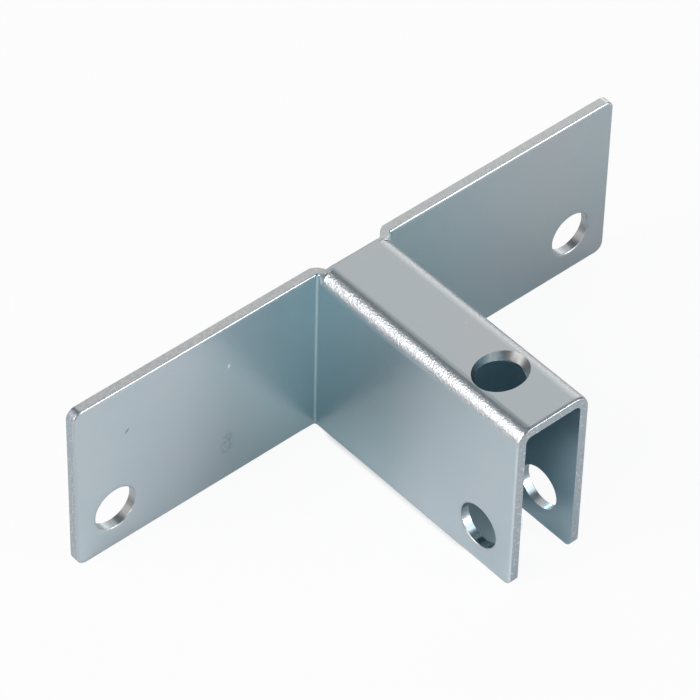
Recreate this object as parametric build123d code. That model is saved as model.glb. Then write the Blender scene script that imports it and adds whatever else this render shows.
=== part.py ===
"""Folded steel bracket: a channel, open below, whose side walls turn outwards into two wings.

Millimetres. The origin lies midway between the two wing holes, on the wings' back face.
+X runs along the wings, -Y along the channel to its open front end, and +Z up to the web.
"""

import os

from build123d import *

# Sheet
sheet = 2.0
edge_roll = 0.3  # rounding that punching leaves round the outer side of each cut edge

# Channel
channel_gap = 12.6  # clear width between the side walls
channel_height = 37.8  # from the foot of the walls to the top of the web
channel_reach = 54.0  # from the back face of the wings to the front end
channel_bend = 1.2  # inside radius between web and walls
wall_corner = 1.5  # lower front corner of each wall

# Wings
wing_span = 126.0
wing_drop = 0.2  # top edge of the wings below the top of the web
wing_corner = 2.0
fold_inside = 0.5  # radius in the corner between wall and wing
fold_ease = 0.5  # how much wider the outside of the fold is than an even bend
bend_runout = 0.5  # length in which the channel bend tightens to the square fold
shoulder = 1.5  # width of the slope from the web's top down to the wings' top edge

# Holes
hole_diameter = 9.0
hole_roll = 0.7  # how far the rounding reaches from a hole over the outer side of the sheet
wing_hole_inset = 8.8  # from the end of the wing
wing_hole_rise = 9.1  # above the foot
wall_hole_inset = 8.7  # from the front end
wall_hole_rise = 8.5
web_hole_inset = 13.5
web_hole_stretch = 1.1  # how far the bends pull each side of its rim outwards
web_hole_ease = 0.1  # how much its rim opens along the channel
web_hole_stretch_depth = 1.5

# Places that follow from the sizes
foot = -wing_hole_rise
web_top = foot + channel_height
wing_top = web_top - wing_drop
half_gap = channel_gap / 2
half_width = half_gap + sheet
half_span = wing_span / 2
front = -channel_reach
fold_outside = fold_inside + sheet + fold_ease
fold_root = -(sheet + fold_inside)
runout_start = min(fold_root - bend_runout, -fold_outside)
tol = 0.001


def vertices_at(face, x, z):
    """The vertices of a section at height z and at x to the right and left of the middle."""
    return [
        v for v in face.vertices()
        if abs(abs(v.X) - x) < tol and abs(v.Z - z) < tol
    ]


def outer_section(y, corner_radius, corner_top, shoulder_x):
    """Outline across the channel at y, its rounded corners reaching up to corner_top."""
    right = [
        (half_width, foot),
        (half_width, corner_top),
        (shoulder_x, corner_top),
        (half_gap - shoulder, web_top),
    ]
    left = [(-x, z) for x, z in reversed(right)]
    outline = Plane.XZ.offset(-y) * Polyline(*right, *left, close=True)
    face = Face(Wire(outline.edges()))
    return face.fillet_2d(corner_radius, vertices_at(face, half_width, corner_top))


def full_section(y):
    """Outline where the bend has its full radius and the web is flat between the bends."""
    bend_outside = channel_bend + sheet
    flat_edge = half_width - bend_outside
    shoulder_x = (flat_edge + half_gap - shoulder) / 2
    return outer_section(y, bend_outside, web_top, shoulder_x)


def square_section(y):
    """Outline at the fold, its corner a little tighter than the rolled edge that it meets."""
    return outer_section(y, edge_roll / 2, wing_top, half_gap)


def inner_section(y):
    """Open space between the walls, with the inside radius of the bends."""
    inside = [
        (half_gap, foot),
        (half_gap, web_top - sheet),
        (-half_gap, web_top - sheet),
        (-half_gap, foot),
    ]
    outline = Plane.XZ.offset(-y) * Polyline(*inside, close=True)
    face = Face(Wire(outline.edges()))
    return face.fillet_2d(channel_bend, vertices_at(face, half_gap, web_top - sheet))


def channel():
    """Straight channel with the lower front corners of its walls rounded."""
    length = runout_start - front
    body = extrude(full_section(runout_start), length, dir=(0, -1, 0))
    body -= extrude(inner_section(runout_start), length, dir=(0, -1, 0))
    body = body.solid()
    corners = [
        e for e in body.edges().filter_by(Axis.X)
        if abs((e @ 0.5).Y - front) < tol and abs((e @ 0.5).Z - foot) < tol
    ]
    body = body.fillet(wall_corner, corners)
    return body.fillet(edge_roll, [e for e in body.edges() if on_channel_rim(e)])


def on_channel_rim(edge):
    """Whether an edge borders the outer skin at the foot or at the front end."""
    middle = edge @ 0.5
    on_wall = abs(abs(middle.X) - half_width) < tol
    on_web = middle.Z > web_top - sheet + tol and abs(middle.Y - front) < tol
    upper = middle.Z > foot + wall_corner
    at_joint = abs(middle.Y - runout_start) < tol
    at_front = abs(middle.Y - front) < tol
    return on_web or (on_wall and not at_joint and (at_front or not upper))


def web_tail():
    """End of the web that reaches back between the two folds, with its top edge rolled."""
    length = -sheet - runout_start
    block = extrude(square_section(runout_start), length, dir=(0, 1, 0))
    block -= extrude(inner_section(runout_start), length, dir=(0, 1, 0))
    width = channel_gap + 2 * edge_roll
    height = sheet + channel_bend
    keep = Pos(0, runout_start, web_top) * Box(
        width, 2 * channel_reach, height, align=(Align.CENTER, Align.CENTER, Align.MAX)
    )
    tail = (block & keep).solid()
    back_top = [
        e for e in tail.edges().filter_by(Axis.X)
        if abs((e @ 0.5).Y + sheet) < tol and abs((e @ 0.5).Z - web_top) < tol
    ]
    return tail.fillet(edge_roll, back_top)


def runout_waste():
    """What is outside the sheet where the rounded bend tightens to the square fold."""
    length = fold_root - runout_start
    slab = Pos(0, runout_start, web_top) * Box(
        3 * half_width, length, 2 * channel_height, align=(Align.CENTER, Align.MIN, Align.CENTER)
    )
    return slab - loft([full_section(runout_start), square_section(fold_root)], ruled=True)


def right_wing():
    """Fold and wing on the right, with the front edges rolled."""
    outline = Polyline(
        (half_gap, runout_start),
        (half_gap, 0),
        (half_span, 0),
        (half_span, -sheet),
        (half_width, -sheet),
        (half_width, runout_start),
        close=True,
    )
    plan = Pos(0, 0, foot) * Face(Wire(outline.edges()))
    corner = plan.vertices().sort_by_distance((half_gap, 0, foot))[0]
    plan = plan.fillet_2d(fold_outside, [corner])
    corner = plan.vertices().sort_by_distance((half_width, -sheet, foot))[0]
    plan = plan.fillet_2d(fold_inside, [corner])
    body = extrude(plan, wing_top - foot, dir=(0, 0, 1)).solid()
    ends = [e for e in body.edges().filter_by(Axis.Y) if abs((e @ 0.5).X - half_span) < tol]
    body = body.fillet(wing_corner, ends)
    return body.fillet(edge_roll, [e for e in body.edges() if on_wing_rim(e)])


def on_wing_rim(edge):
    """Whether an edge borders the front of the wing or runs on round the fold to the wall."""
    middle = edge @ 0.5
    on_skin = middle.X > half_width - tol and middle.Y < -sheet + tol
    upright = abs((edge @ 0).Z - (edge @ 1).Z) > wing_corner + tol
    at_end = middle.X > half_span - tol
    return on_skin and (at_end or not upright)


def punched_hole(outer_face):
    """Hole through one sheet, along the outward normal, with a rolled rim on the outer side."""
    radius = hole_diameter / 2
    rim = radius + hole_roll
    depth = sheet + edge_roll
    outline = Polyline((0, edge_roll), (rim, edge_roll), (rim, 0))
    outline += EllipticalCenterArc((rim, -edge_roll), hole_roll, edge_roll, 90, arc_size=90)
    outline += Polyline((radius, -edge_roll), (radius, -depth), (0, -depth), (0, edge_roll))
    return outer_face * revolve(Plane.XZ * make_face(outline), Axis.Z)


def stretched_hole(outer_face):
    """Hole through the web, whose mouth the bends beside it draw wider across the channel."""
    radius = hole_diameter / 2
    mouth = Ellipse(radius + web_hole_stretch, radius + web_hole_ease)
    throat = Pos(0, 0, -web_hole_stretch_depth) * Circle(radius)
    flare = loft([mouth, throat])
    bore = Pos(0, 0, -sheet / 2) * Cylinder(radius, 2 * sheet)
    return outer_face * (flare + bore)


def holes():
    """All five holes, each from the outer side of its wall."""
    wing_x = half_span - wing_hole_inset
    wall_y = front + wall_hole_inset
    wall_z = foot + wall_hole_rise
    web_face = Plane((0, front + web_hole_inset, web_top), x_dir=(1, 0, 0), z_dir=(0, 0, 1))
    cutters = [stretched_hole(web_face)]
    for side in (-1, 1):
        wing_face = Plane((side * wing_x, -sheet, 0), z_dir=(0, -1, 0))
        wall_face = Plane((side * half_width, wall_y, wall_z), z_dir=(side, 0, 0))
        cutters += [punched_hole(wing_face), punched_hole(wall_face)]
    return cutters


def bracket():
    """The whole folded sheet."""
    wing = right_wing()
    back = web_tail() + wing + wing.mirror(Plane.YZ)
    body = channel() + (back - runout_waste())
    for cutter in holes():
        body -= cutter
    return body.solid()


os.makedirs("parts", exist_ok=True)
part = bracket()
print("solid valid:", part.is_valid, "volume mm3:", round(part.volume, 1))
export_step(part, "parts/bracket.step")
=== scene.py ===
# %% [markdown]
# # A folded channel bracket in blue passivated zinc
# The real part starts as one flat blank of 2 mm steel. It is punched, folded down along two lines
# into a channel that is open below, and folded out again along two more into flat wings. After
# that it is zinc plated. This notebook models it the same way: a sheet with no thickness is
# folded first, and gets its thickness afterwards, so that the bends come out as they do in steel.

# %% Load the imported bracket
import math

import bmesh
import bpy
from mathutils import Matrix, Vector


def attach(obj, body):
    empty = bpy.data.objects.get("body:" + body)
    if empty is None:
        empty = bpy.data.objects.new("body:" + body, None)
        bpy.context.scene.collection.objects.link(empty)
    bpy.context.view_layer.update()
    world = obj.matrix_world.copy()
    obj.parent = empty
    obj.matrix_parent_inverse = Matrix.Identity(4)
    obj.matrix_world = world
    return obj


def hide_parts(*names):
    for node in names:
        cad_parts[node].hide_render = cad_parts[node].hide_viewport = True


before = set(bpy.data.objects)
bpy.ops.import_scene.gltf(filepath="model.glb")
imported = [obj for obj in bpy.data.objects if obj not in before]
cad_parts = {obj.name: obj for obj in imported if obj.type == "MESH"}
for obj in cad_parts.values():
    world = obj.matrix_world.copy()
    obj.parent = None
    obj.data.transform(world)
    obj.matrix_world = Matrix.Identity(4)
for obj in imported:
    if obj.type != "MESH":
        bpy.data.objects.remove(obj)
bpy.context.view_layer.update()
MM = 0.001

# %% [markdown]
# ## Camera
# The photograph was taken with a long lens from the front left, looking down at about 45 degrees.
# Three directions say how the camera is held: its right, its up, and straight back out of it.
# They were fitted to the corners and holes of the bracket. A camera could also be aimed with a
# constraint, but a fitted one has a slight roll, and three plain directions keep it.

# %% Place the camera
camera_place = Vector((-392.508, -437.704, 589.563)) * MM
camera_right = Vector((0.75485, -0.65565, 0.01783))
camera_up = Vector((0.45376, 0.54165, 0.70761))
camera_back = Vector((-0.47360, -0.52606, 0.70637))
camera_data = bpy.data.cameras.new("long_lens")
camera_data.sensor_width = 36.0
camera_data.lens = 237.30
camera = bpy.data.objects.new("camera", camera_data)
bpy.context.scene.collection.objects.link(camera)
held = Matrix((camera_right, camera_up, camera_back)).transposed().to_4x4()
camera.matrix_world = Matrix.Translation(camera_place) @ held
bpy.context.scene.camera = camera
print("camera is", round(camera_place.length / MM), "mm from the origin")

# %% [markdown]
# ## Selecting by place
# At the bench a smith points at an edge. A script has nothing to point with, so it describes the
# edge: where its middle is, or which way its face looks. The first helpers deselect everything,
# open a piece for editing, and select only what fits such a description. The others compare
# places with a little slack, because the points of a mesh are never exactly where they should be.


# %% Helpers to open a piece and select parts of it
def put_down_all():
    """Leave edit mode and deselect every object."""
    if bpy.context.mode != "OBJECT":
        bpy.ops.object.mode_set(mode="OBJECT")
    bpy.ops.object.select_all(action="DESELECT")


def take_up(piece, edit=True):
    """Select one piece alone, and open it with nothing selected in it if it is to be edited."""
    put_down_all()
    piece.select_set(True)
    bpy.context.view_layer.objects.active = piece
    if edit:
        bpy.ops.object.mode_set(mode="EDIT")
        bpy.ops.mesh.select_all(action="DESELECT")


def select(kind, wanted):
    """Select the "VERT", "EDGE" or "FACE" items for which wanted(item) is true."""
    bpy.ops.mesh.select_mode(type=kind)
    bpy.ops.mesh.select_all(action="DESELECT")
    shape = bmesh.from_edit_mesh(bpy.context.object.data)
    items = {"VERT": shape.verts, "EDGE": shape.edges, "FACE": shape.faces}[kind]
    chosen = [item for item in items if wanted(item)]
    for item in chosen:
        item.select_set(True)
    shape.select_flush_mode()
    bmesh.update_edit_mesh(bpy.context.object.data)
    return len(chosen)


print("can select points, edges and faces by what is true of them")

# %% Helpers to measure
X, Y, Z = range(3)
SLACK = 0.01 * MM
SEAM = 0.002 * MM  # points of a seam lie this close together
HAIR = 1e-6  # a thousandth of a millimetre, where two planes have to be told apart
FACING = 0.5  # a normal's part along an axis is 1 when the face looks straight that way


def near(a, b, slack=SLACK):
    """Whether two measures are the same but for some slack."""
    return abs(a - b) < slack


def middle(item):
    """The mean place of an item's points."""
    return sum((v.co for v in item.verts), Vector()) / len(item.verts)


def all_at(item, axis, place, slack=SLACK):
    """Whether an item's points all have this place on an axis."""
    return all(near(v.co[axis], place, slack) for v in item.verts)


def apply_place(piece):
    """Move a piece's place, turn and scale into its mesh."""
    take_up(piece, edit=False)
    bpy.ops.object.transform_apply(location=True, rotation=True, scale=True)


print("axes are numbered", X, Y, Z, "and places may differ by", SLACK / MM, "mm")

# %% [markdown]
# ## The channel
# On the real part a press brake folds the two walls down over a punch. Here a block of the
# channel's outside size loses its bottom, front and back, which leaves a sharp folded paper
# strip. Bevelling its two long edges turns them into bends with the outside radius, and Solidify
# then adds the steel inwards. Bending a flat strip with a modifier would also work, but its
# sizes would depend on the strip's length, while here every outside size is exact.

# %% Outside of the channel as a strip without thickness
sheet = 2.0 * MM
half_gap = 6.3 * MM
half_width = half_gap + sheet
foot = -9.1 * MM
web_top = 28.7 * MM
front = -54.0 * MM
runout_start = -3.0 * MM
put_down_all()
bpy.ops.mesh.primitive_cube_add(
    size=1,
    location=(0, (front + runout_start) / 2, (foot + web_top) / 2),
    scale=(2 * half_width, runout_start - front, web_top - foot),
)
channel = bpy.context.object
channel.name = "channel"
apply_place(channel)
take_up(channel)
opened = select("FACE", lambda f: f.normal.z < -FACING or abs(f.normal.y) > FACING)
bpy.ops.mesh.delete(type="FACE")
print("faces taken off the block:", opened)

# %% Bends of the channel
bend_outside = 3.2 * MM
bend_steps = 8
bent = select("EDGE", lambda e: near(abs(middle(e).x), half_width) and all_at(e, Z, web_top))
bpy.ops.mesh.bevel(offset=bend_outside, offset_type="OFFSET", segments=bend_steps)
bpy.ops.object.mode_set(mode="OBJECT")
print("long edges bent:", bent)

# %% [markdown]
# Solidify can give the new inner side and the rim material slots of their own. The slots become
# the finishes of the part: the plated face of the sheet, its back, the cut edge that the punch
# leaves, and later the walls of the holes. They also make it easy to find the edge between face
# and cut.

# %% Thickness of the steel
FACE_SIDE, BACK_SIDE, CUT_EDGE, HOLE_WALL = range(4)
slot_names = ("zinc", "zinc_back", "cut_edge", "hole_wall")
finishes = [bpy.data.materials.new(name) for name in slot_names]


def thicken(piece):
    """Give a folded strip the sheet's thickness on its inner side."""
    take_up(piece, edit=False)
    for finish in finishes:
        piece.data.materials.append(finish)
    steel = piece.modifiers.new("steel", "SOLIDIFY")
    steel.thickness = sheet
    steel.offset = -1
    steel.use_even_offset = True
    steel.material_offset = BACK_SIDE
    steel.material_offset_rim = CUT_EDGE
    bpy.ops.object.modifier_apply(modifier="steel")
    print(piece.name, "has", len(piece.data.polygons), "faces after thickening")


thicken(channel)

# %% Lower front corners of the walls
wall_corner = 1.5 * MM
corner_steps = 8
take_up(channel)
corners = select("EDGE", lambda e: all_at(e, Y, front) and all_at(e, Z, foot))
bpy.ops.mesh.bevel(offset=wall_corner, offset_type="OFFSET", segments=corner_steps)
print("wall corners rounded:", corners)

# %% [markdown]
# ## Where the bend meets the fold
# Just before the wings the rounded bend has to tighten into the square corner of the fold, and
# the web slopes down by the 0.2 mm that the wings stand lower. The back end of the channel is
# extruded in three short rows for this. A quarter circle that is scaled about the corner of its
# two tangents is again a quarter circle between the same tangents, so one resize a row tightens
# the bend evenly.

# %% Two lines along the web for the slope
slope_inner = 4.8 * MM
slope_outer = 4.95 * MM
ON_PLANE = 1e-7  # points this close to a cutting plane count as lying on it


def slice_at(place, normal, clear=False):
    """Cut the selected faces with a plane, and with clear take away what is behind it."""
    bpy.ops.mesh.bisect(plane_co=place, plane_no=normal, clear_inner=clear, threshold=ON_PLANE)


for side in (-1, 1):
    for line in (slope_inner, slope_outer):
        bpy.ops.mesh.select_all(action="SELECT")
        slice_at((side * line, 0, 0), (1, 0, 0))
print("the channel now has", len(bmesh.from_edit_mesh(channel.data).faces), "faces")

# %% Rows that tighten the bend
edge_roll = 0.3 * MM
wing_top = 28.5 * MM
fold_root = -2.5 * MM
rows = 3
radius, corner_top, slope, at = bend_outside, web_top, slope_outer, runout_start


def on_bend(vert, side):
    """Whether a point lies on the quarter circle of the bend, in the row that was just made."""
    across = side * vert.co.x - (half_width - radius)
    up = vert.co.z - (corner_top - radius)
    in_quarter = across > -HAIR and up > -HAIR
    return near(vert.co.y, at) and in_quarter and near(math.hypot(across, up), radius)


def on_slope(vert, side):
    """Whether a point lies at the top of the slope, in the row that was just made."""
    return near(vert.co.y, at) and near(side * vert.co.x, slope) and near(vert.co.z, corner_top)


for row in range(1, rows + 1):
    share = row / rows
    select("FACE", lambda f: f.normal.y > FACING and near(middle(f).y, at))
    step = (fold_root - runout_start) / rows
    bpy.ops.mesh.extrude_region_move(TRANSFORM_OT_translate={"value": (0, step, 0)})
    at += step
    new_radius = bend_outside + share * (edge_roll - bend_outside)
    new_top = web_top + share * (wing_top - web_top)
    new_slope = slope_outer + share * (half_gap - slope_outer)
    for side in (-1, 1):
        moved = select("VERT", lambda v: on_bend(v, side))
        ratio = new_radius / radius
        bpy.ops.transform.resize(
            value=(ratio, 1, ratio), center_override=(side * half_width, at, corner_top)
        )
        bpy.ops.transform.translate(value=(0, 0, new_top - corner_top))
        select("VERT", lambda v: on_slope(v, side))
        bpy.ops.transform.translate(value=(side * (new_slope - slope), 0, new_top - corner_top))
    radius, corner_top, slope = new_radius, new_top, new_slope
    print("row", row, "moved", moved, "points to a radius of", round(radius / MM, 2), "mm")


# %% [markdown]
# ## Rolled rim
# A punch pulls the sheet down a little before it cuts, so the edge on the punch side is rounded.
# That is the outer side here, and the roll is what catches the thin white line along the wings in
# the photograph. It has as many steps as the bend, so that the two rims meet point to point.


# %% Roll the outer rim
def on_rim(edge, end):
    """Whether an edge lies between the plated face and the cut, but not at the given end."""
    sides = sorted(face.material_index for face in edge.link_faces)
    return sides == [FACE_SIDE, CUT_EDGE] and not all_at(edge, Y, end)


def roll_rim(end):
    """Round the rim of the open piece, except at the end where another piece will meet it."""
    rolled = select("EDGE", lambda e: on_rim(e, end))
    bpy.ops.mesh.bevel(
        offset=edge_roll, offset_type="OFFSET", segments=bend_steps, material=FACE_SIDE
    )
    print("rim edges rolled:", rolled)


roll_rim(fold_root)
cap = select("FACE", lambda f: f.normal.y > FACING and all_at(f, Y, fold_root))
bpy.ops.mesh.delete(type="FACE")
bpy.ops.object.mode_set(mode="OBJECT")
print("faces taken off the back end:", cap)

# %% [markdown]
# ## The wings
# A wing is a plane with two rounded corners. Its inner edge is spun a quarter turn round the fold
# line, which makes the tight inside of the fold, and is pulled on a little to meet the wall. The
# thickness goes on afterwards, as on the channel, and the spare piece is cut off at the seam.

# %% Front of the right wing
half_span = 63.0 * MM
wing_corner = 2.0 * MM
fold_inside = 0.5 * MM
fold_steps = 8
fold_x = half_width + fold_inside
put_down_all()
bpy.ops.mesh.primitive_plane_add(
    size=1,
    location=((fold_x + half_span) / 2, -sheet, (foot + wing_top) / 2),
    rotation=(math.pi / 2, 0, 0),
)
wings = bpy.context.object
wings.name = "wings"
wings.scale = (half_span - fold_x, wing_top - foot, 1)
apply_place(wings)
take_up(wings)
select("VERT", lambda v: near(v.co.x, half_span))
bpy.ops.mesh.bevel(
    offset=wing_corner, offset_type="OFFSET", segments=corner_steps, affect="VERTICES"
)
print("wing is", round((half_span - fold_x) / MM, 1), "mm long in front")

# %% Fold it towards the channel
select("EDGE", lambda e: all_at(e, X, fold_x))
bpy.ops.mesh.spin(
    steps=fold_steps, angle=-math.pi / 2, center=(fold_x, fold_root, 0), axis=(0, 0, 1)
)
select("EDGE", lambda e: all_at(e, X, half_width) and all_at(e, Y, fold_root))
bpy.ops.mesh.extrude_edges_move(
    TRANSFORM_OT_translate={"value": (0, runout_start - fold_root, 0)}
)
bpy.ops.mesh.select_all(action="SELECT")
bpy.ops.mesh.normals_make_consistent(inside=False)
largest = max(bmesh.from_edit_mesh(wings.data).faces, key=lambda f: f.calc_area())
if largest.normal.y > 0:
    bpy.ops.mesh.flip_normals()
bpy.ops.object.mode_set(mode="OBJECT")
thicken(wings)

# %% Roll its rim and cut it off at the seam
take_up(wings)
roll_rim(runout_start)
bpy.ops.mesh.select_all(action="SELECT")
slice_at((0, fold_root, 0), (0, 1, 0), clear=True)
wing_root = min(v.co.y for v in bmesh.from_edit_mesh(wings.data).verts)
print("the wing now starts at y", round(wing_root / MM, 3), "mm")

# %% [markdown]
# The end of the web sits between the two folds and closes the back of the channel at the top.
# Behind it the fold needs no skin, so the first two strips of its back are split at the height
# where the web's inside bend starts, and the upper parts are taken out.

# %% Open the fold where the web's end meets it
quarter = math.pi / 2
fold_step, bend_step = quarter / fold_steps, quarter / bend_steps
back_radius = fold_inside + sheet / math.cos(fold_step / 2)
tail_x = fold_x - back_radius * math.cos(fold_step)
tail_back = fold_root + back_radius * math.sin(fold_step)
tail_turn = fold_root + sheet * math.tan(fold_step / 4)
web_under = web_top - bend_outside - sheet * math.tan(bend_step / 4)
strip_area = 1 * MM ** 2  # the strips along the fold are larger than this


def behind_web(face):
    """Whether a face looks inwards and lies in the first strips of the fold's back."""
    return face.normal.x < -FACING and all(v.co.x < tail_x + HAIR for v in face.verts)


select("FACE", lambda f: behind_web(f) and f.calc_area() > strip_area)
slice_at((0, 0, web_under), (0, 0, 1))
freed = select("FACE", lambda f: behind_web(f) and middle(f).z > web_under)
bpy.ops.mesh.delete(type="FACE")
bpy.ops.object.mode_set(mode="OBJECT")
print("faces taken out behind the web:", freed)

# %% [markdown]
# The left wing is the mirror image of the right one. Once both are there, wings and channel
# become one mesh, and the points of the seam, which lie on each other, are merged.

# %% Mirror the wing and weld the seam
mirror = wings.modifiers.new("left wing", "MIRROR")
mirror.use_mirror_merge = False
take_up(wings, edit=False)
bpy.ops.object.modifier_apply(modifier="left wing")
put_down_all()
wings.select_set(True)
channel.select_set(True)
bpy.context.view_layer.objects.active = channel
bpy.ops.object.join()
bracket = channel
bracket.name = "folded_bracket"


def weld():
    """Merge the points that lie on each other."""
    bpy.ops.mesh.select_all(action="SELECT")
    before = len(bmesh.from_edit_mesh(bracket.data).verts)
    bpy.ops.mesh.remove_doubles(threshold=SEAM)
    print("points welded:", before - len(bmesh.from_edit_mesh(bracket.data).verts))


take_up(bracket)
weld()


# %% End of the web between the folds
def tail_edge(edge, place):
    """Whether an edge is part of the web's open end at this place along the channel."""
    in_web = abs(middle(edge).x) < half_gap
    return edge.is_boundary and in_web and all_at(edge, Y, place, SEAM)


def tail_corner(vert, place, side):
    """Whether a point is one of the open end's outermost points on this side."""
    at_end = vert.is_boundary and near(vert.co.y, place, SEAM)
    return at_end and near(side * vert.co.x, half_gap, SEAM)


tail_rows = ((fold_root, tail_turn, 0), (tail_turn, tail_back, tail_x - half_gap))
for start, end, shift in tail_rows:
    select("EDGE", lambda e: tail_edge(e, start))
    bpy.ops.mesh.extrude_edges_move(TRANSFORM_OT_translate={"value": (0, end - start, 0)})
    for side in (-1, 1):
        select("VERT", lambda v: tail_corner(v, end, side))
        bpy.ops.transform.translate(value=(side * shift, 0, 0))
    weld()
select("EDGE", lambda e: e.is_boundary)
bpy.ops.mesh.edge_face_add()
bpy.ops.mesh.select_all(action="SELECT")
bpy.ops.mesh.normals_make_consistent(inside=False)


def report_shape(step):
    """Print whether the open mesh is closed and how much steel it holds."""
    shape = bmesh.from_edit_mesh(bracket.data)
    loose = sum(1 for edge in shape.edges if not edge.is_manifold)
    print(step, "- open edges:", loose, "mm3:", round(shape.calc_volume() / MM ** 3, 1))


report_shape("sheet folded")

# %% [markdown]
# Steel thins where it is folded so tightly. The middle of each fold's back is pulled inwards, and
# proportional editing lets the points beside it follow less and less, as the real surface does.

# %% Thin the folds
fold_shrink = 0.92
shrink_reach = 1.6 * MM
middle_part = 0.3  # radians on each side of the fold's middle
facet_slack = 0.03 * MM


def fold_middle(vert, side):
    """Whether a point lies in the middle of a fold's outer side."""
    across, along = fold_x - side * vert.co.x, vert.co.y - fold_root
    in_middle = near(math.atan2(along, across), quarter / 2, middle_part)
    return in_middle and near(math.hypot(across, along), back_radius, facet_slack)


for side in (-1, 1):
    pulled = select("VERT", lambda v: fold_middle(v, side))
    bpy.ops.transform.resize(
        value=(fold_shrink, fold_shrink, 1),
        center_override=(side * fold_x, fold_root, 0),
        use_proportional_edit=True,
        proportional_edit_falloff="SMOOTH",
        proportional_size=shrink_reach,
    )
print("points pulled in each fold:", pulled)


# %% Roll the back edge of the web
web_edge_steps = 4


def web_back_edge(edge):
    """Whether an edge runs across the top of the web at its very back."""
    upper = all(v.co.z > wing_top - SLACK for v in edge.verts)
    across = not near(edge.verts[0].co.x, edge.verts[1].co.x)
    in_web = abs(middle(edge).x) < slope_inner
    return upper and across and in_web and all_at(edge, Y, tail_back, SEAM)


web_edges = select("EDGE", web_back_edge)
bpy.ops.mesh.bevel(offset=edge_roll, offset_type="OFFSET", segments=web_edge_steps)
report_shape("web edge rolled")
print("edges rolled:", web_edges)

# %% [markdown]
# The roll on the real rim is an ellipse, more than twice as wide as it is deep, and its width is
# what makes the white lines in the photograph soft. A bevel can't be wider than it is deep. So the
# outer skin first gets two narrow rings inside its rim by inset, and then every ring of points is
# pushed in to the depth that the ellipse has there. Close to the folds, which leave no room for
# it, the rim keeps its round roll.

# %% Rings inside the rim
roll_width = 0.7 * MM
wide_from = 12.0 * MM  # from the middle along the wings, and from their back along the channel
ring_gap = 0.2 * MM
ring_count = 2
ring_reach = roll_width + ring_gap


def cut_along(place, normal, wanted):
    """Cut a line into the wanted faces, so that the rings have a straight border."""
    select("FACE", wanted)
    slice_at(place, normal)


def on_wing(face):
    """Whether a face belongs to a wing."""
    return abs(middle(face).x) > fold_x


def skin_depth(place):
    """How far a point of the channel lies below its outer skin."""
    across = abs(place.x) - (half_width - bend_outside)
    up = place.z - (web_top - bend_outside)
    if across > HAIR and up > HAIR:
        return bend_outside - math.hypot(across, up)
    return min(half_width - abs(place.x), web_top - place.z)


for side in (-1, 1):
    cut_along((side * wide_from, 0, 0), (1, 0, 0), on_wing)
cut_along((0, -wide_from, 0), (0, 1, 0), lambda f: middle(f).y < fold_root)
cut_along((0, 0, foot + ring_reach), (0, 0, 1), lambda f: True)
cut_along((0, 0, wing_top - ring_reach), (0, 0, 1), on_wing)


def wing_front(face):
    """Whether a face is part of a wing's front, outside the line near the fold."""
    beyond = all(abs(v.co.x) > wide_from - HAIR for v in face.verts)
    return beyond and all_at(face, Y, -sheet, HAIR)


def channel_skin(face):
    """Whether a face is part of the channel's outer skin, in front of the line near the fold."""
    return all(skin_depth(v.co) < HAIR and v.co.y < HAIR - wide_from for v in face.verts)


ringed = select("FACE", lambda f: wing_front(f) or channel_skin(f))
for ring in range(ring_count):
    bpy.ops.mesh.inset(thickness=ring_gap, use_even_offset=True)
report_shape("rings inside the rim")
print("faces that got rings:", ringed)


# %% Find the rings of the rim
def off_outline(first, second, radius):
    """Distance in from two edges that meet in a corner of this radius."""
    if first < radius and second < radius:
        return radius - math.hypot(radius - first, radius - second)
    return min(first, second)


ring_slack = 0.006 * MM  # the rings' facets run this close to the true outline


def on_ring(place, gap, depth):
    """Which side of the steel a point belongs to, if it is on the ring: wing, wall, web or bend."""
    if abs(place.x) > wide_from - HAIR:
        from_long_edge = min(wing_top - place.z, place.z - foot)
        inwards = off_outline(half_span - abs(place.x), from_long_edge, wing_corner)
        here = near(place.y, -sheet + depth, SEAM) and near(inwards, gap, ring_slack)
        return "wing" if here else None
    inwards = off_outline(place.y - front, place.z - foot, wall_corner)
    here = near(skin_depth(place), depth, SEAM) and near(inwards, gap, ring_slack)
    if not here or place.y > HAIR - wide_from:
        return None
    if place.z < web_top - bend_outside + HAIR:
        return "wall"
    return "web" if abs(place.x) < half_width - bend_outside + HAIR else "bend"


round_roll = [
    (edge_roll * (1 - math.sin(step * bend_step)), edge_roll * (1 - math.cos(step * bend_step)))
    for step in range(bend_steps)
]
print("rings of the round roll, gap and depth in mm:")
for gap, depth in round_roll:
    print(round(gap / MM, 3), round(depth / MM, 3))


# %% Push the rings in to an ellipse
def wide_depth(gap):
    """Depth of the wide roll at this gap from the outline."""
    return edge_roll * (1 - math.sqrt(1 - (1 - gap / roll_width) ** 2))


def pick(part, side=0):
    """Select the ring's points on one part of the steel, and on one side if it has two."""
    return select("VERT", lambda v: on_ring(v.co, gap, depth) == part and side * v.co.x >= 0)


pushed = 0
for gap, depth in [(edge_roll + ring_gap, 0.0)] + round_roll:
    push = wide_depth(gap) - depth
    pushed += pick("wing")
    bpy.ops.transform.translate(value=(0, push, 0))
    pushed += pick("web")
    bpy.ops.transform.translate(value=(0, 0, -push))
    ratio = 1 - push / (bend_outside - depth)
    for side in (-1, 1):
        pushed += pick("wall", side)
        bpy.ops.transform.translate(value=(-side * push, 0, 0))
        pushed += pick("bend", side)
        bend_centre = (side * (half_width - bend_outside), front, web_top - bend_outside)
        bpy.ops.transform.resize(value=(ratio, 1, ratio), center_override=bend_centre)
report_shape("rim widened")
print("points pushed in:", pushed)

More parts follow.
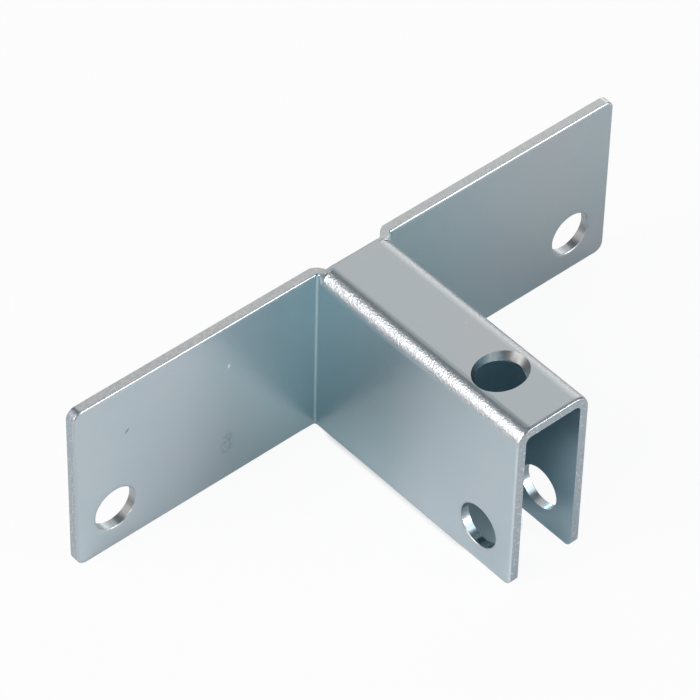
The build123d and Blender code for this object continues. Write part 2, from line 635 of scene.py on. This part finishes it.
# %% [markdown]
# ## Punched holes
# Five holes of 9 mm take the bolts. The real punch pulls the sheet down a little before it cuts, so
# each hole has a rounded mouth on the outer side, wider than it is deep. A bevel on the rim can't
# be wider than deep, so the punch gets the shape instead: a cylinder that is cut into rings near
# the sheet's face, each ring scaled out a little further. A Boolean then takes it out of the steel.

# %% A punch with a widened mouth
hole_radius = 4.5 * MM
punch_sides = 96
punch_length = 4 * MM
punch_above = 1 * MM  # how far the punch stands out over the sheet's face


def make_punch(name, depth, across, along, steps, mouth_finish):
    """Cylinder down through z = 0, where its mouth is wider by across in x and along in y."""
    put_down_all()
    bpy.ops.mesh.primitive_cylinder_add(
        vertices=punch_sides,
        radius=hole_radius,
        depth=punch_length,
        location=(0, 0, punch_above - punch_length / 2),
    )
    punch = bpy.context.object
    punch.name = name
    apply_place(punch)
    for finish in finishes:
        punch.data.materials.append(finish)
    take_up(punch)
    bpy.ops.mesh.select_all(action="SELECT")
    punch.active_material_index = HOLE_WALL
    bpy.ops.object.material_slot_assign()
    for step in range(steps + 1):
        turn = step / steps * quarter
        height = -depth * (1 - math.sin(turn))
        share = 1 - math.cos(turn)
        bpy.ops.mesh.select_all(action="SELECT")
        slice_at((0, 0, height), (0, 0, 1))
        last = step == steps
        select("VERT", lambda v: near(v.co.z, height, ON_PLANE) or (last and v.co.z > 0))
        wider = (1 + share * across / hole_radius, 1 + share * along / hole_radius, 1)
        bpy.ops.transform.resize(value=wider, center_override=(0, 0, 0))
    select("FACE", lambda f: all(v.co.z > -depth - ON_PLANE for v in f.verts))
    punch.active_material_index = mouth_finish
    bpy.ops.object.material_slot_assign()
    bpy.ops.object.mode_set(mode="OBJECT")
    print(name, "has a mouth", round(across / MM, 2), "mm wider and", depth / MM, "mm deep")
    return punch


# %% Four round holes with the same punch
wing_hole_x = 54.2 * MM
wall_hole_y = -45.3 * MM
wall_hole_z = -0.6 * MM
mouth_steps = 6
round_punch = make_punch(
    "round_punch", edge_roll, roll_width, roll_width, mouth_steps, FACE_SIDE
)
round_holes = (
    ((-wing_hole_x, -sheet, 0), (quarter, 0, 0)),
    ((wing_hole_x, -sheet, 0), (quarter, 0, 0)),
    ((-half_width, wall_hole_y, wall_hole_z), (0, -quarter, 0)),
    ((half_width, wall_hole_y, wall_hole_z), (0, quarter, 0)),
)
punches = []
for place, tilt in round_holes:
    take_up(round_punch, edit=False)
    bpy.ops.object.duplicate()
    copy = bpy.context.object
    copy.location, copy.rotation_euler = place, tilt
    apply_place(copy)
    punches.append(copy)
bpy.data.objects.remove(round_punch, do_unlink=True)
print("round punches placed:", len(punches))

# %% [markdown]
# The hole in the web was punched before the walls were folded down beside it. The bends drew its
# sides outwards, so its mouth is an oval funnel that reaches deeper into the sheet. With a single
# step the funnel's side is straight, and it keeps the burnished finish of the hole.

# %% Oval punch for the web
web_hole_y = -40.5 * MM
funnel_depth = 1.5 * MM
funnel_across, funnel_along = 1.1 * MM, 0.1 * MM
web_punch = make_punch("web_punch", funnel_depth, funnel_across, funnel_along, 1, HOLE_WALL)
web_punch.location = (0, web_hole_y, web_top)
apply_place(web_punch)
punches.append(web_punch)

# %% Punch the sheet
for punch in punches:
    take_up(bracket, edit=False)
    punching = bracket.modifiers.new("punch", "BOOLEAN")
    punching.object = punch
    punching.operation = "DIFFERENCE"
    punching.solver = "EXACT"
    bpy.ops.object.modifier_apply(modifier="punch")
    bpy.data.objects.remove(punch, do_unlink=True)
take_up(bracket)
weld()
report_shape("holes punched")

# %% [markdown]
# ## Normals
# The bends should shade as round and the cuts as sharp. Smoothing by angle does the first, and
# Weighted Normal then lets the large flat faces decide, so that no shade creeps from a bend into
# the flat steel beside it.

# %% Shade the bends smooth
sharpest_bend = math.radians(35)
flat_weight = 100  # the most that the modifier takes
take_up(bracket, edit=False)
bpy.ops.object.shade_smooth_by_angle(angle=sharpest_bend)
even = bracket.modifiers.new("even shade", "WEIGHTED_NORMAL")
even.keep_sharp = True
even.weight = flat_weight
bpy.ops.object.modifier_apply(modifier="even shade")
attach(bracket, "root")
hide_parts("bracket")
print("bracket:", len(bracket.data.polygons), "faces")

# %% [markdown]
# ## Blue passivated zinc
# The plating is a thin bright metal with a faint blue skin. Its colour wanders between teal and
# violet over a few millimetres, because the skin differs in thickness. Beside the folds its colour
# is painted a deeper teal, a painted reflection of the wall and wing in each other; inside the
# channel it is painted bluer, a painted tint for the shade and reflections there; and out on the
# left, away from the fold, it is painted lighter, a painted reflection of brighter floor. Noise on
# Object coordinates gives all of this at its real size, with no image to unwrap. A small class adds
# the nodes, since every finish here needs the same few kinds.


# %% Helper for material nodes
class Finish:
    """One material, with short ways to add and join its nodes."""

    def __init__(self, material):
        material.use_nodes = True
        self.tree = material.node_tree
        self.shader = self.tree.nodes["Principled BSDF"]
        self.place = self.node("ShaderNodeTexCoord").outputs

    def node(self, kind, settings=None, **inputs):
        """A new node with its settings made and its inputs filled."""
        new = self.tree.nodes.new(kind)
        for key, value in (settings or {}).items():
            setattr(new, key, value)
        for key, value in inputs.items():
            self.put(value, new.inputs[key.replace("_", " ")])
        return new

    def put(self, value, socket):
        """Join a node's output to the socket, or set it to a plain value."""
        if isinstance(value, bpy.types.NodeSocket):
            self.tree.links.new(value, socket)
        else:
            socket.default_value = value

    def give(self, name, value):
        """Give the shader itself a colour, a number or a normal."""
        self.put(value, self.shader.inputs[name])

    def split(self, vector):
        """The x, y and z of a vector."""
        return self.node("ShaderNodeSeparateXYZ", Vector=vector).outputs

    def length(self, vector):
        """How long a vector is."""
        made = self.node("ShaderNodeVectorMath", {"operation": "LENGTH"})
        self.put(vector, made.inputs[0])
        return made.outputs["Value"]

    def distance(self, x, y):
        """How far a point is from a corner, when it is x and y away from the corner's two lines."""
        return self.length(self.node("ShaderNodeCombineXYZ", X=x, Y=y).outputs[0])

    def noise(self, size, detail=2.0, vector=None):
        """Soft spots about this many metres across, from 0 to 1 and mostly near 0.5."""
        made = self.node("ShaderNodeTexNoise", Scale=1 / size, Detail=detail)
        self.put(vector or self.place["Object"], made.inputs["Vector"])
        return made.outputs["Fac"]

    def span(self, value, low, high, to_low=0.0, to_high=1.0):
        """Stretch the part from low to high so that it runs from to_low to to_high."""
        made = self.node("ShaderNodeMapRange")
        for socket, number in zip(made.inputs[:5], (value, low, high, to_low, to_high)):
            self.put(number, socket)
        return made.outputs[0]

    def math(self, operation, first, second=0.0):
        """One sum with two numbers."""
        made = self.node("ShaderNodeMath", {"operation": operation})
        self.put(first, made.inputs[0])
        self.put(second, made.inputs[1])
        return made.outputs[0]

    def times(self, first, second):
        """The product of two numbers."""
        return self.math("MULTIPLY", first, second)

    def blend(self, share, first, second):
        """From the first colour at share 0 to the second at share 1."""
        made = self.node("ShaderNodeMix", {"data_type": "RGBA"})
        self.put(share, made.inputs[0])
        self.put(first, made.inputs[6])  # the node's sockets 6 and 7 are its two colours
        self.put(second, made.inputs[7])
        return made.outputs[2]

    def bump(self, height, depth, strength=1.0):
        """A normal that leans as if the height stood out by up to depth metres."""
        made = self.node("ShaderNodeBump", Height=height, Distance=depth, Strength=strength)
        return made.outputs[0]


print("finishes to make:", [finish.name for finish in finishes])

# %% Colour and gloss of the zinc
teal_skin, violet_skin = (0.51, 0.595, 0.635, 1), (0.54, 0.59, 0.63, 1)
cloud_size, satin_size = 11 * MM, 0.6 * MM
satin_smooth, satin_rough = 0.285, 0.30
zinc = Finish(finishes[FACE_SIDE])
zinc.give("Metallic", 1.0)
clouds = zinc.span(zinc.noise(cloud_size, 3.0), 0.35, 0.65)
skin_colour = zinc.blend(clouds, teal_skin, violet_skin)
gloss = zinc.span(zinc.noise(satin_size), 0.3, 0.7, satin_smooth, satin_rough)
print("zinc blends", teal_skin[:3], "and", violet_skin[:3])

# %% Painted reflection tint beside the folds
# The deeper teal beside the folds is a painted reflection: wall and wing mirror each other there.
fold_reflection_tint = (0.475, 0.62, 0.67, 1)
tint_within, tint_until = 10 * MM, 42 * MM
uneven_size, uneven_by = 9 * MM, 12 * MM
at_x, at_y, at_z = zinc.split(zinc.place["Object"])
beside = zinc.math("SUBTRACT", zinc.math("ABSOLUTE", at_x), half_width)
off_fold = zinc.distance(beside, zinc.math("ADD", at_y, sheet))
uneven = zinc.times(zinc.noise(uneven_size), uneven_by)
fold_reflection_share = zinc.span(zinc.math("ADD", off_fold, uneven), tint_within, tint_until, 1.0, 0.0)
on_sides = zinc.span(beside, -1.5 * MM, 0.0)
skin_colour = zinc.blend(zinc.times(fold_reflection_share, on_sides), skin_colour, fold_reflection_tint)
print("skin in the folds:", fold_reflection_tint[:3])

# %% Painted lighter skin out on the left, painted tint inside the channel
# Out on the left the zinc is painted lighter, a painted reflection of brighter floor; inside the
# channel it is painted bluer, a painted tint for the shade and reflections there.
left_light_teal, left_light_violet = (0.58, 0.675, 0.72, 1), (0.605, 0.67, 0.72, 1)
left_light_from, left_light_beyond = 19 * MM, 30 * MM
inner_shade_tint = (0.48, 0.635, 0.71, 1)
under_web_from, under_web_below = 27.0 * MM, 26.5 * MM
hem = 0.1 * MM  # within this width one finish gives way to the next
on_left = zinc.times(zinc.span(at_x, 0.0, -1.0 * MM), on_sides)
left_light_share = zinc.times(zinc.span(off_fold, left_light_from, left_light_beyond), on_left)
left_lit_skin = zinc.blend(clouds, left_light_teal, left_light_violet)
skin_colour = zinc.blend(left_light_share, skin_colour, left_lit_skin)
under_web = zinc.span(at_z, under_web_from, under_web_below)
inside = zinc.times(zinc.span(beside, hem - sheet, -sheet), under_web)
skin_colour = zinc.blend(inside, skin_colour, inner_shade_tint)
print("skin out on the left:", left_light_teal[:3], "and inside:", inner_shade_tint[:3])

# %% [markdown]
# ## Orange peel and rolled rims
# The rolled sheet is smooth, but where a bend stretches its outside, the grains of the steel stand
# out and the plating over them looks mottled. Painters know this as orange peel. A strong bump
# would draw bright wires over the bends, so most of it is in the colour, and a weak bump is kept
# to the channel's two bends. The rolls along the upright rims and the front end aren't stretched
# in this way: they stay even, and the front end's roll is painted brightest, a painted highlight.
# On flat steel the largest part of the normal is 1, and on a bend or a roll it is less, which is
# how the shader finds them.

# %% Find the bends
facing_parts = [zinc.math("ABSOLUTE", part) for part in zinc.split(zinc.place["Normal"])]
flattest = facing_parts[X]
for part in facing_parts[Y:]:
    flattest = zinc.math("MAXIMUM", flattest, part)
flat_facing, bent_facing = 0.995, 0.93
share_on_flat = 0.02
bent = zinc.span(flattest, flat_facing, bent_facing, share_on_flat, 1.0)
corner_from, corner_beyond = 0.6 * MM, 1.2 * MM
bent_share = zinc.times(bent, zinc.span(off_fold, corner_from, corner_beyond))
bend_from, bend_above = 24.0 * MM, 25.0 * MM
on_bend = zinc.times(zinc.span(beside, hem, 0.0), zinc.span(at_z, bend_from, bend_above))
print("the bends count from", bend_above / MM, "mm up")

# %% Orange peel on the bends
peel_size, peel_depth = 0.36 * MM, 0.07 * MM
dark_peel, light_peel = (0.48, 0.505, 0.53, 1), (0.64, 0.66, 0.68, 1)
bend_extra_roughness = 0.06
grains = zinc.noise(peel_size)
zinc.give("Normal", zinc.bump(grains, peel_depth, zinc.times(bent_share, on_bend)))
duller = zinc.times(zinc.math("MAXIMUM", bent_share, inside), bend_extra_roughness)
gloss = zinc.math("ADD", gloss, duller)
stretched_skin = zinc.blend(zinc.span(grains, 0.36, 0.64), dark_peel, light_peel)
print("peel on the bends: grains of", round(peel_size / MM, 2), "mm")

# %% Even skin on the rolled rims, with a painted highlight on the front one
# The front roll's near-white colour is a painted highlight.
upright_roll, front_roll_highlight = (0.555, 0.62, 0.665, 1), (0.76, 0.84, 0.89, 1)
front_from, front_beyond = -53.0 * MM, -53.5 * MM
front_highlight_share = zinc.span(at_y, front_from, front_beyond)
rolls_and_front_highlight = zinc.blend(front_highlight_share, upright_roll, front_roll_highlight)
bent_skin = zinc.blend(zinc.span(facing_parts[Z], 0.0, 0.25), rolls_and_front_highlight, stretched_skin)
skin_colour = zinc.blend(bent_share, skin_colour, bent_skin)
print("rolls:", upright_roll[:3], "and in front:", front_roll_highlight[:3])

# %% [markdown]
# ## Marks from handling, and a painted glint
# The photograph shows a few small marks on the left wing: a short dark tick, a faint smudge, a
# bright speck, and some dust-sized light spots. The bright speck is a painted glint, a small
# reflection put in as colour. Each is a soft ball of space around its place, stretched to its
# shape. Where the wing runs through the ball, the colour changes.


# %% Marks on the left wing
mark_core = 0.4  # the share of a mark's size over which it is at its strongest


def mark(x, z, size, lean=0.0):
    """1 at this place on the wings' front, falling to 0 at the size away; lean turns it about y."""
    moved = zinc.node("ShaderNodeMapping", {"vector_type": "TEXTURE"})
    zinc.put(zinc.place["Object"], moved.inputs["Vector"])
    moved.inputs["Location"].default_value = (x, -sheet, z)
    moved.inputs["Rotation"].default_value = (0, lean, 0)
    moved.inputs["Scale"].default_value = size
    return zinc.span(zinc.length(moved.outputs[0]), 1.0, mark_core)


def stain(share, colour):
    """The skin's colour so far, with a stain of this colour over it."""
    return zinc.blend(share, skin_colour, colour)


tick = mark(-51.45 * MM, 17.6 * MM, (0.24 * MM, MM, 0.85 * MM), math.radians(42))
# The speck is a painted glint, a bright reflection painted into the colour.
painted_glint = mark(-28.55 * MM, 18.7 * MM, (0.4 * MM, MM, 0.65 * MM))
smudge_ball = mark(-29.0 * MM, -0.4 * MM, (1.8 * MM, MM, 4.0 * MM))
smudge = zinc.times(smudge_ball, zinc.span(zinc.noise(0.9 * MM, 3.0), 0.42, 0.6))
tick_share, smudge_share = 0.8, 0.55
tick_colour, smudge_colour = (0.12, 0.14, 0.15, 1), (0.28, 0.38, 0.39, 1)
painted_glint_colour = (0.95, 0.97, 0.98, 1)
skin_colour = stain(zinc.times(tick, tick_share), tick_colour)
skin_colour = stain(zinc.times(smudge, smudge_share), smudge_colour)
skin_colour = stain(painted_glint, painted_glint_colour)
print("marks: tick, smudge and speck")

# %% Dust-sized spots all over
spot_spacing = 4.5 * MM
spot_edge, spot_core = 0.05, 0.03  # as shares of the spacing
strongest_spot = 0.7
spot_colour = (0.85, 0.88, 0.90, 1)
spot_extra_roughness = 0.04
spots = zinc.node("ShaderNodeTexVoronoi", Scale=1 / spot_spacing)
zinc.put(zinc.place["Object"], spots.inputs["Vector"])
spot_shape = zinc.span(spots.outputs["Distance"], spot_edge, spot_core)
chosen = zinc.node("ShaderNodeSeparateColor", Color=spots.outputs["Color"]).outputs[0]
spot_share = zinc.times(spot_shape, zinc.span(chosen, 0.4, 0.9, 0.0, strongest_spot))
zinc.give("Base Color", stain(spot_share, spot_colour))
zinc.give("Roughness", zinc.math("ADD", gloss, zinc.times(spot_share, spot_extra_roughness)))
bracket.data.materials[BACK_SIDE] = finishes[FACE_SIDE]
print("both sides of the sheet have the zinc")

# %% [markdown]
# ## Cut edges
# A punch shears the sheet for a third of its thickness and breaks the rest, so a cut edge is
# rough and grainy, and the zinc on it looks mottled, with bluer patches and bright grains; the
# bright grains are painted glints. The same noise drives its colour, its gloss and its bump,
# because on the real edge they have one cause. Edges that face up are smoother and lighter in the
# photograph: here they are smoother and painted lighter, a painted light from above. The upper
# corner of the left end is dull, and it is painted darker, a painted shade. Both are found by the
# way they face.

# %% Grainy colour of the cut edge
dark_grain, light_grain = (0.42, 0.49, 0.535, 1), (0.555, 0.595, 0.635, 1)
blue_patch, painted_glint_grain = (0.42, 0.53, 0.61, 1), (0.74, 0.76, 0.78, 1)
edge_grain_size, patch_size, glint_size = 0.45 * MM, 2.2 * MM, 0.7 * MM
strongest_patch = 0.6
cut = Finish(finishes[CUT_EDGE])
cut.give("Metallic", 1.0)
grain = cut.noise(edge_grain_size, 3.0)
edge_colour = cut.blend(cut.span(grain, 0.38, 0.62), dark_grain, light_grain)
blue_patches = cut.span(cut.noise(patch_size, 2.0), 0.5, 0.62, 0.0, strongest_patch)
edge_colour = cut.blend(blue_patches, edge_colour, blue_patch)
# The bright grains are painted glints.
painted_glint_share = cut.span(cut.noise(glint_size, 1.0), 0.62, 0.70)
edge_colour = cut.blend(painted_glint_share, edge_colour, painted_glint_grain)
print("cut edge has grains of", edge_grain_size / MM, "mm")

# %% Smooth upper edges painted lighter, and the corner painted darker
# Upward edges get a painted light from above, and the upper left corner a painted shade; the corner
# is also rougher.
lit_top_edge, shaded_corner = (0.60, 0.645, 0.665, 1), (0.27, 0.28, 0.33, 1)
strongest_smooth, strongest_dull = 0.8, 0.8
edge_bump_depth = 0.045 * MM
grain_rough, grain_smooth = 0.37, 0.25
dull_extra_roughness = 0.2
edge_facing = cut.split(cut.place["Normal"])
smooth_and_lit_share = cut.span(edge_facing[Z], 0.7, 0.95, 0.0, strongest_smooth)
edge_colour = cut.blend(smooth_and_lit_share, edge_colour, lit_top_edge)
up_and_left = cut.math("MINIMUM", edge_facing[Z], cut.times(edge_facing[X], -1.0))
dull_and_shaded_share = cut.span(up_and_left, 0.2, 0.55, 0.0, strongest_dull)
cut.give("Base Color", cut.blend(dull_and_shaded_share, edge_colour, shaded_corner))
edge_gloss = cut.span(grain, 0.35, 0.65, grain_rough, grain_smooth)
cut.give("Roughness", cut.math("ADD", edge_gloss, cut.times(dull_and_shaded_share, dull_extra_roughness)))
grainy_share = cut.math("SUBTRACT", 1.0, smooth_and_lit_share)
cut.give("Normal", cut.bump(grain, edge_bump_depth, grainy_share))
print("smooth on top", lit_top_edge[:3], "and dull at the corner", shaded_corner[:3])

# %% [markdown]
# ## Walls of the holes
# A round punch burnishes the wall of its hole, which ends up smoother than the outline's cut, with
# fine streaks along the punch's path. The cylinders brought a UV map with them, u round the hole
# and v along it, so noise stretched along v makes the streaks. At the lower right of the wing
# holes the photograph shows a dark stretch, which is painted in as a painted shade and made
# rougher. It faces up and to the left, so it is found in the way of the corner's painted shade.

# %% Burnished hole wall
streaks_round = 55
streak_depth = 0.001 * MM
streak_drawn_out = 0.04  # the noise is squeezed to this share along the punch's path
streak_rough, streak_smooth = 0.29, 0.25
dark_streak, light_streak = (0.435, 0.51, 0.55, 1), (0.49, 0.545, 0.575, 1)
hole = Finish(finishes[HOLE_WALL])
hole.give("Metallic", 1.0)
drawn_out = hole.node("ShaderNodeMapping", Vector=hole.place["UV"])
drawn_out.inputs["Scale"].default_value = (1.0, streak_drawn_out, 1.0)
streaks = hole.noise(1 / streaks_round, 2.0, drawn_out.outputs[0])
wall_colour = hole.blend(hole.span(streaks, 0.38, 0.62), dark_streak, light_streak)
wall_gloss = hole.span(streaks, 0.35, 0.65, streak_rough, streak_smooth)
hole.give("Normal", hole.bump(streaks, streak_depth))
streak_width = 2 * math.pi * hole_radius / streaks_round
print("hole wall has streaks of", round(streak_width / MM, 2), "mm")

# %% Painted shade on the lower right of the wing holes
# The dark colour here is a painted shade, with more roughness.
shaded_wall_colour = (0.24, 0.225, 0.22, 1)
strongest_wall_shade = 0.75
stretch_extra_roughness = 0.2
wall_facing = hole.split(hole.place["Normal"])
up_and_left = hole.math("MINIMUM", wall_facing[Z], hole.times(wall_facing[X], -1.0))
shade_and_rough_share = hole.span(up_and_left, 0.15, 0.4, 0.0, strongest_wall_shade)
hole.give("Base Color", hole.blend(shade_and_rough_share, wall_colour, shaded_wall_colour))
rough_stretch_gloss = hole.math("ADD", wall_gloss, hole.times(shade_and_rough_share, stretch_extra_roughness))
hole.give("Roughness", rough_stretch_gloss)
print("torn steel:", shaded_wall_colour[:3])

# %% [markdown]
# ## Floor
# The photograph's background is plain white. The floor's own colour is a pale grey, and the white
# comes from a share of plain emission that only camera rays see, so that it sheds no extra light
# on the steel and still keeps the shadow. Reflections see a little of the same glow. Under the
# channel, away from its open front, no light reaches the floor, so the glow is left out there, and
# the floor's colour there is painted a darker teal, a painted shade with bounced blue light. The
# photograph shows this deep shade through the hole in the left wall.

# %% Matt floor with a patch of painted shade
floor_size = 6.0
floor_gap = 0.02 * MM
shade_middle, shade_half_length, shade_right = -23.5 * MM, 16.0 * MM, -1.7 * MM
shade_until, lit_beyond = 5.5 * MM, 7.5 * MM
# The teal colour of the patch is a painted shade on the floor.
painted_shade_colour = (0.56, 0.655, 0.68, 1)
floor_cloud_size = 60 * MM
floor_dark, floor_light = 0.84, 0.86
put_down_all()
bpy.ops.mesh.primitive_plane_add(size=floor_size, location=(0, 0, foot - floor_gap))
floor = bpy.context.object
floor.name = "floor"
floor_paint = bpy.data.materials.new("pale_floor")
floor.data.materials.append(floor_paint)
ground = Finish(floor_paint)
ground.tree.nodes.remove(ground.shader)
matt = ground.node("ShaderNodeBsdfDiffuse")
matt_shade = ground.span(ground.noise(floor_cloud_size), 0.3, 0.7, floor_dark, floor_light)
on_floor = ground.split(ground.place["Object"])
past_right = ground.math("SUBTRACT", on_floor[X], shade_right)
from_middle = ground.math("ABSOLUTE", ground.math("SUBTRACT", on_floor[Y], shade_middle))
past_end = ground.math("MAXIMUM", ground.math("SUBTRACT", from_middle, shade_half_length), 0.0)
lit = ground.span(ground.distance(past_right, past_end), shade_until, lit_beyond)
ground.put(ground.blend(lit, painted_shade_colour, matt_shade), matt.inputs["Color"])
print("floor at", round((foot - floor_gap) / MM, 2), "mm")

# %% White glow for the camera
camera_glow, mirror_glow = 0.93, 0.05
glow = ground.node("ShaderNodeEmission", Strength=1.0)
rays = ground.node("ShaderNodeLightPath").outputs
glow_share = ground.times(rays["Is Camera Ray"], camera_glow)
for ray in ("Is Glossy Ray", "Is Transmission Ray"):
    glow_share = ground.math("ADD", glow_share, ground.times(rays[ray], mirror_glow))
shown = ground.node("ShaderNodeMixShader", Fac=ground.times(glow_share, lit))
ground.put(matt.outputs[0], shown.inputs[1])
ground.put(glow.outputs[0], shown.inputs[2])
ground.put(shown.outputs[0], ground.tree.nodes["Material Output"].inputs["Surface"])
print("the camera sees", camera_glow, "of the glow, reflections see", mirror_glow)

# %% [markdown]
# ## Lamps
# Metal shows what is round it, so each lamp was found from a reflection. The white stripe along
# the left bend comes from the panels behind on the left, the two tones of the right bend come from
# weaker ones behind on the right, and the thin white lines along the wings from a low one in front
# on the right. The world adds the same soft light from everywhere.


# %% Soft boxes
lamp_aim = Vector((0, -20 * MM, 10 * MM))


def soft_box(name, azimuth, elevation, width, height, power, colour):
    """A panel a metre away that faces the bracket; its azimuth counts from +X towards +Y."""
    across, up = math.radians(azimuth), math.radians(elevation)
    away = Vector(
        (math.cos(across) * math.cos(up), math.sin(across) * math.cos(up), math.sin(up))
    )
    data = bpy.data.lights.new(name, "AREA")
    data.shape = "RECTANGLE"
    data.size, data.size_y = width, height
    data.energy = power
    data.color = colour
    lamp = bpy.data.objects.new(name, data)
    bpy.context.scene.collection.objects.link(lamp)
    lamp.location = lamp_aim + away
    lamp.rotation_euler = away.to_track_quat("Z", "Y").to_euler()
    print(name, "at", azimuth, "and", elevation, "degrees,", power, "W")


warm, cool = (1.0, 0.95, 0.92), (0.91, 0.98, 1.0)
rose_white, cream = (1.0, 0.97, 0.96), (1.0, 0.97, 0.94)
pale_amber, amber = (1.0, 0.92, 0.87), (1.0, 0.885, 0.815)
soft_box("back_left_low", 160, 22, 0.4, 0.4, 1.9, warm)
soft_box("back_left_high", 160, 45, 0.4, 0.3, 2.7, rose_white)
soft_box("far_left", 190, 27, 0.5, 0.5, 4.1, warm)
soft_box("back_right_low", 33, 4, 0.5, 0.2, 0.44, warm)
soft_box("back_right", 35, 20, 0.5, 0.4, 0.66, pale_amber)
soft_box("back_right_high", 40, 45, 0.8, 0.5, 0.87, amber)
soft_box("front_right", -55, 36, 0.4, 0.5, 1.3, cool)
soft_box("front_right_low", -58, 8, 0.5, 0.3, 3.5, cream)

# %% World
surround = (0.181, 0.21, 0.227, 1)
world = bpy.data.worlds.new("studio")
bpy.context.scene.world = world
world.use_nodes = True
around = world.node_tree.nodes["Background"]
around.inputs["Color"].default_value = surround
around.inputs["Strength"].default_value = 1.0
bpy.context.scene.view_settings.view_transform = "Standard"
print("world colour", surround[:3])
